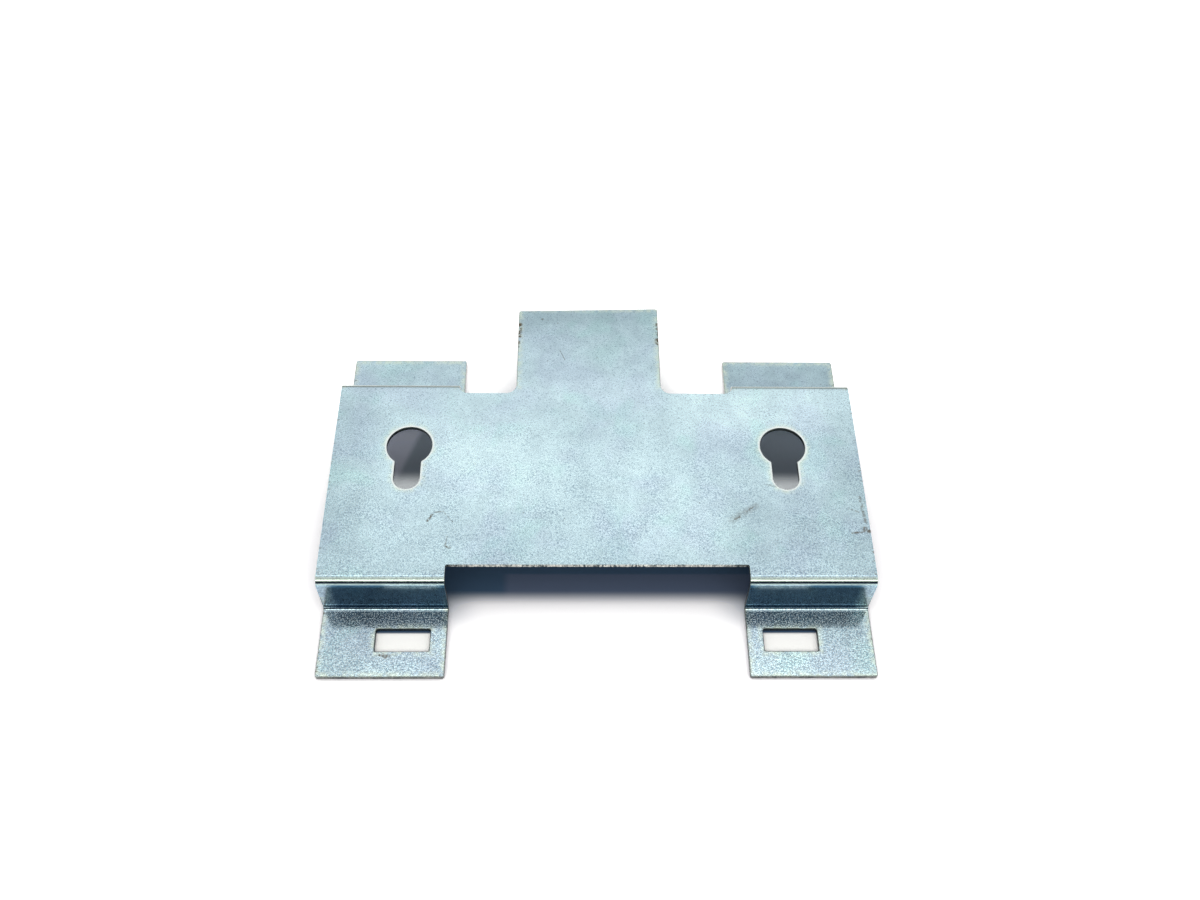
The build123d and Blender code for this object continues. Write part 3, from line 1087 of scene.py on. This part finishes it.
def floor_material(look, sizes, at):
    """White floor, with the shade beside and under the bracket and the light its openings let in."""
    material = bpy.data.materials.new("floor")
    material.use_nodes = True
    wires = Wiring(material.node_tree)
    openness = wires.add(
        "ShaderNodeAmbientOcclusion",
        {"Distance": look.hollow_reach, "Normal": (0, 0.37, 0.93)},
        samples=48,
    ).outputs["AO"]
    spot = wires.parts(wires.add("ShaderNodeTexCoord").outputs["Object"])
    x, y = spot["X"], spot["Y"]
    across = wires.unsigned(x)
    in_gap = wires.within(across, at.foot_inner + MM)

    # where the floor is open, and where the painted shade under the bracket goes
    in_front = wires.times(wires.fade(y, -24.5 * MM, -21.0 * MM), wires.spread(openness, 0.1, 0.36))
    between = wires.times(in_gap, wires.fade(y, -18 * MM, -16 * MM))
    outside = wires.greater(wires.minus(wires.spread(openness, 0.42, 0.56), between), 0.0)
    outside = wires.greater(outside, wires.spread(y, at.notch + MM, at.rear_web))
    outside = wires.greater(outside, in_front)

    # painted shade and light under the bracket: seen through the keyholes with painted light pools, and
    # painted shadow behind the cut-out
    off_keyhole = wires.unsigned(wires.minus(across, at.side - 13.5 * MM))
    pool = wires.times(wires.fade(y, 1.5 * MM, 5.6 * MM), wires.fade(off_keyhole, 5 * MM, 8 * MM))
    pool = wires.times(pool, wires.spread(y, -8 * MM, -4 * MM))
    lean = wires.minus(x, wires.times(y, 0.35))
    lit = wires.coat(
        wires.fade(lean, -41.3 * MM, -39.6 * MM), opaque(look.keyhole), look.keyhole_light_left
    )
    lit = wires.coat(wires.spread(y, 5 * MM, 14 * MM, 0.5, 0.0), lit, (0, 0, 0))
    lit = wires.coat(pool, lit, look.light_pool)
    step = wires.times(wires.fade(y, -17.9 * MM, -17.4 * MM), wires.spread(x, -18 * MM, -16 * MM))
    umbra = wires.coat(step, opaque(look.painted_shadow), look.half_shade)
    under = wires.mix(wires.spread(y, -14 * MM, -8 * MM), umbra, lit)

    # painted shade on the open floor: beside the bracket, in the slots with a painted shadow along each
    # slot's rear wall, and in the corners behind the feet
    eased = wires.plus(openness, wires.spread(y, -10 * MM, 20 * MM, -0.10, 0.12))
    seen = [look.floor_seen * part for part in look.floor_tone]
    open_floor = wires.coat(wires.spread(eased, 0.46, 0.88), opaque(look.shade), seen)
    slot_shade = wires.times(
        wires.within(wires.unsigned(wires.minus(across, at.slot_x)), 5.5 * MM),
        wires.within(wires.unsigned(wires.minus(y, at.slot_y)), 3 * MM),
    )
    wall = at.slot_y + sizes.slot_width / 2
    slot_floor = wires.coat(
        wires.spread(y, wall - 0.75 * MM, wall - 0.25 * MM), opaque(look.slot_shade), look.painted_shadow
    )
    open_floor = wires.mix(slot_shade, open_floor, slot_floor)
    # painted shade in the corners behind the feet, in the colour of the painted shade under the plate
    corner = wires.times(
        wires.spread(across, at.foot_inner - 7 * MM, at.foot_inner + MM),
        wires.spread(y, -29.5 * MM, -24 * MM),
    )
    corner = wires.times(wires.times(corner, in_gap), wires.within(y, at.cutout))
    open_floor = wires.coat(wires.times(corner, 0.6), open_floor, look.keyhole)

    # only camera rays and first glossy rays see the painted shade and light; other rays meet a plain floor
    path = wires.add("ShaderNodeLightPath").outputs
    first_glossy = wires.times(path["Is Glossy Ray"], wires.within(path["Diffuse Depth"], 0.5))
    straight = wires.greater(path["Is Camera Ray"], first_glossy)
    tone = wires.mix(straight, opaque(look.floor), wires.mix(outside, under, open_floor))
    shade = wires.add("ShaderNodeBsdfDiffuse", {"Color": tone})
    wires.feed(material.node_tree.nodes["Material Output"].inputs["Surface"], shade.outputs["BSDF"])
    return material


def add_floor(material):
    """A wide floor just under the feet."""
    clear_selection()
    bpy.ops.mesh.primitive_plane_add(size=6, location=(0, 0, -0.02 * MM))
    floor = bpy.context.object
    floor.name = "floor"
    settle(floor)
    floor.data.materials.append(material)


def add_camera(scene, look):
    """The camera that takes the picture."""
    camera = bpy.data.objects.new("camera", bpy.data.cameras.new("camera"))
    scene.collection.objects.link(camera)
    camera.data.lens = look.lens
    camera.data.sensor_width = 36
    camera.data.clip_start = 0.01
    camera.matrix_world = (
        Matrix.Translation(look.camera_place)
        @ Matrix.Rotation(-look.camera_yaw, 4, "Z")
        @ Matrix.Rotation(math.pi / 2 - look.camera_pitch, 4, "X")
        @ Matrix.Rotation(look.camera_roll, 4, "Z")
    )
    scene.camera = camera


class BRACKET_OT_stage(bpy.types.Operator):
    """Set up the floor, the light and the camera"""

    bl_idname = "bracket.stage"
    bl_label = "Studio stage"

    def execute(self, context):
        scene = context.scene
        look, sizes = scene.studio_look, scene.bracket_sizes
        add_floor(floor_material(look, sizes, Places(sizes)))
        scene.view_settings.view_transform = "Standard"
        scene.world = studio_sky()
        add_camera(scene, look)
        return {"FINISHED"}


class BRACKET_PT_sidebar(bpy.types.Panel):
    """Steps that make the bracket, with the values they use"""

    bl_idname = "BRACKET_PT_sidebar"
    bl_label = "Wall bracket"
    bl_space_type = "VIEW_3D"
    bl_region_type = "UI"
    bl_category = "Bracket"

    def draw(self, context):
        scene = context.scene
        for step, values in (
            (BRACKET_OT_sheet, scene.bracket_sizes),
            (BRACKET_OT_finish, scene.zinc_finish),
            (BRACKET_OT_stage, scene.studio_look),
        ):
            box = self.layout.box()
            box.operator(step.bl_idname)
            for name in type(values).__annotations__:
                box.prop(values, name)


CLASSES = (
    BracketSizes, ZincFinish, StudioLook,
    BRACKET_OT_sheet, BRACKET_OT_finish, BRACKET_OT_stage, BRACKET_PT_sidebar,
)


def register():
    for made in CLASSES:
        bpy.utils.register_class(made)
    bpy.types.Scene.bracket_sizes = bpy.props.PointerProperty(type=BracketSizes)
    bpy.types.Scene.zinc_finish = bpy.props.PointerProperty(type=ZincFinish)
    bpy.types.Scene.studio_look = bpy.props.PointerProperty(type=StudioLook)


def unregister():
    del bpy.types.Scene.studio_look
    del bpy.types.Scene.zinc_finish
    del bpy.types.Scene.bracket_sizes
    for made in reversed(CLASSES):
        bpy.utils.unregister_class(made)


def main():
    register()
    bpy.ops.bracket.sheet()
    bpy.ops.bracket.finish()
    bpy.ops.bracket.stage()


if __name__ == "__main__":
    main()
